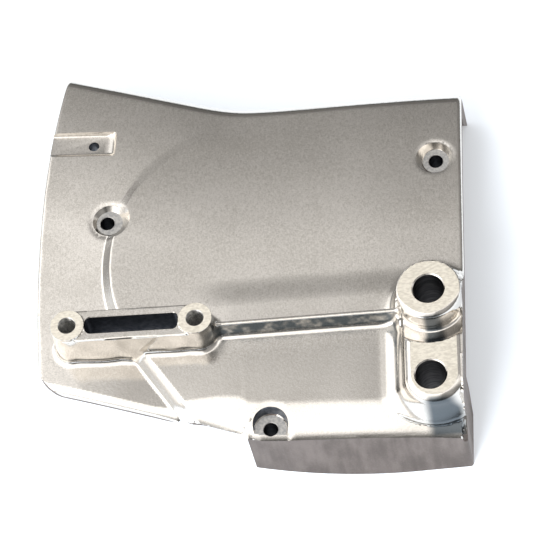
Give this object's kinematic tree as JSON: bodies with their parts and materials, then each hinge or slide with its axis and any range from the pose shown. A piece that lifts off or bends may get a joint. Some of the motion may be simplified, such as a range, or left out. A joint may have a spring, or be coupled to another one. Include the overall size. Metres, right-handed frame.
{
  "type": "timing cover",
  "caption": "One-piece cast aluminium engine side cover: crowned plate with a curved dome edge, a skirt, a slotted boss, a thin rib and bored bosses with a scoop between them.",
  "frame": {"origin": "centre of the cover's box, on its mating face", "axes": "+X right and +Y up as the cover is seen from outside, +Z out of its face"},
  "size_m": [0.1914, 0.1968, 0.056],
  "materials": {
    "cast_aluminium": "cast, polished on the outside, machined on the boss faces"
  },
  "bodies": {
    "root": {"cover_casting": "cast_aluminium"}
  },
  "joints": []
}
